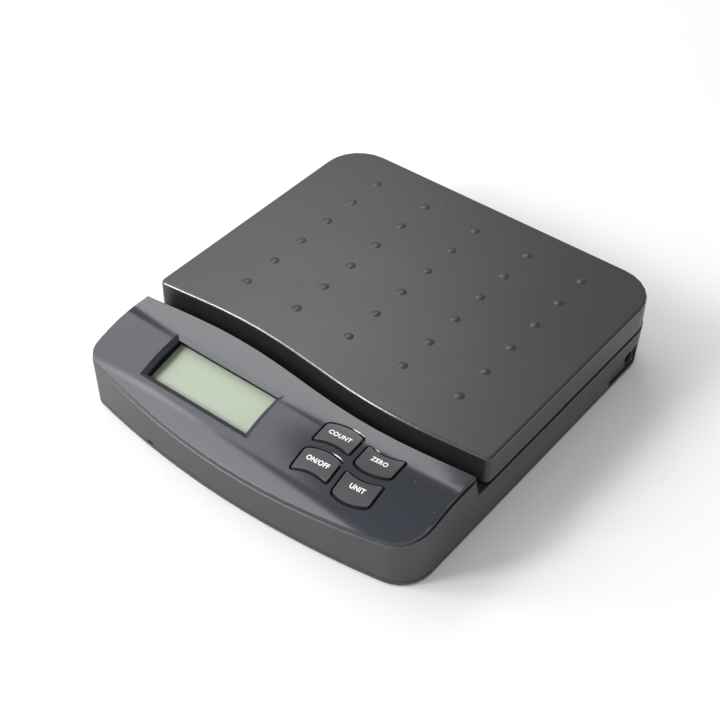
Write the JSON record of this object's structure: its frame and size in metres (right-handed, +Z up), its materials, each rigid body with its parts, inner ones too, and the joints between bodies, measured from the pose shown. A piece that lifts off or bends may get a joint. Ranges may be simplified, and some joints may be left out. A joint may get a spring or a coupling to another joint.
{
  "type": "platform shipping scale",
  "caption": "Low black electronic parcel scale: a flat dotted weighing platform with a waved front edge behind a sloping glossy panel with a display and keys.",
  "frame": {"origin": "bottom centre of the bounding box, on the plane the rubber feet stand on", "axes": "+Z up; +Y to the rear edge, away from the control panel; +X to the right of someone reading the display"},
  "size_m": [0.183, 0.2008, 0.0399],
  "materials": {
    "satin_black_plastic": "satin, fine moulded grain",
    "gloss_black_plastic": "polished black",
    "key_plastic": "semi-gloss black with white legends",
    "foot_rubber": "matt black",
    "grommet_rubber": "matt black",
    "cell_aluminium": "milled",
    "screw_steel": "zinc plated",
    "gauge_sealant": "white silicone",
    "display_glass": "pale green-grey reflective display",
    "display_frame_plastic": "black",
    "contact_strip_rubber": "layered conductive rubber",
    "board_laminate": "green solder mask",
    "chip_resin": "black potting drop",
    "switch_plastic": "dark grey",
    "contact_nickel": "nickel plated",
    "battery_jacket": "plain printed sleeve"
  },
  "bodies": {
    "base_body": {"base_housing": "satin_black_plastic", "battery_1": "battery_jacket", "battery_2": "battery_jacket", "battery_3": "battery_jacket", "battery_4": "battery_jacket", "battery_contact_front_1": "contact_nickel", "battery_contact_front_2": "contact_nickel", "battery_contact_rear_1": "contact_nickel", "battery_contact_rear_2": "contact_nickel", "battery_contact_rear_3": "contact_nickel", "board_screw_1": "screw_steel", "board_screw_2": "screw_steel", "board_screw_3": "screw_steel", "board_screw_4": "screw_steel", "bottom_cover": "satin_black_plastic", "case_screw_1": "screw_steel", "case_screw_2": "screw_steel", "case_screw_3": "screw_steel", "case_screw_4": "screw_steel", "case_screw_5": "screw_steel", "case_screw_6": "screw_steel", "cell_screw_1": "screw_steel", "cell_screw_2": "screw_steel", "circuit_board": "board_laminate", "contact_strip": "contact_strip_rubber", "control_panel": "gloss_black_plastic", "dc_jack": "switch_plastic", "key_switch_1": "switch_plastic", "key_switch_2": "switch_plastic", "key_switch_3": "switch_plastic", "key_switch_4": "switch_plastic", "lcd_frame": "display_frame_plastic", "lcd_glass": "display_glass", "load_cell": "cell_aluminium", "overload_stop": "screw_steel", "processor_chip": "chip_resin", "rubber_foot_1": "foot_rubber", "rubber_foot_2": "foot_rubber", "rubber_foot_3": "foot_rubber", "rubber_foot_4": "foot_rubber", "strain_gauge_bottom": "gauge_sealant", "strain_gauge_top": "gauge_sealant"},
    "platform_body": {"weighing_platform": "satin_black_plastic", "platform_carrier": "satin_black_plastic", "platform_grommet_1": "grommet_rubber", "platform_grommet_2": "grommet_rubber", "platform_grommet_3": "grommet_rubber", "platform_grommet_4": "grommet_rubber", "carrier_screw_1": "screw_steel", "carrier_screw_2": "screw_steel"},
    "key_body_1": {"key_1": "key_plastic"},
    "key_body_2": {"key_2": "key_plastic"},
    "key_body_3": {"key_3": "key_plastic"},
    "key_body_4": {"key_4": "key_plastic"},
    "door_body": {"battery_door": "satin_black_plastic"}
  },
  "joints": [
    {"name": "platform_press", "type": "slide", "parent": "base_body", "child": "platform_body", "axis": [0, 0, -1], "range_m": [0, 0.0008], "stiffness_N_per_m": 20000, "springref_m": -0.00006, "deforming": ["load_cell"]},
    {"name": "key_1_press", "type": "slide", "parent": "base_body", "child": "key_body_1", "axis": [0, 0.2399, -0.9708], "range_m": [0, 0.0007], "stiffness_N_per_m": 800, "springref_m": -0.0008},
    {"name": "key_2_press", "type": "slide", "parent": "base_body", "child": "key_body_2", "axis": [0, 0.2399, -0.9708], "range_m": [0, 0.0007], "stiffness_N_per_m": 800, "springref_m": -0.0008},
    {"name": "key_3_press", "type": "slide", "parent": "base_body", "child": "key_body_3", "axis": [0, 0.2399, -0.9708], "range_m": [0, 0.0007], "stiffness_N_per_m": 800, "springref_m": -0.0008},
    {"name": "key_4_press", "type": "slide", "parent": "base_body", "child": "key_body_4", "axis": [0, 0.2399, -0.9708], "range_m": [0, 0.0007], "stiffness_N_per_m": 800, "springref_m": -0.0008},
    {"name": "battery_door_hinge", "type": "hinge", "parent": "base_body", "child": "door_body", "pos_m": [0, 0.0163, 0.0012], "axis": [1, 0, 0], "range_deg": [0, 70]}
  ]
}
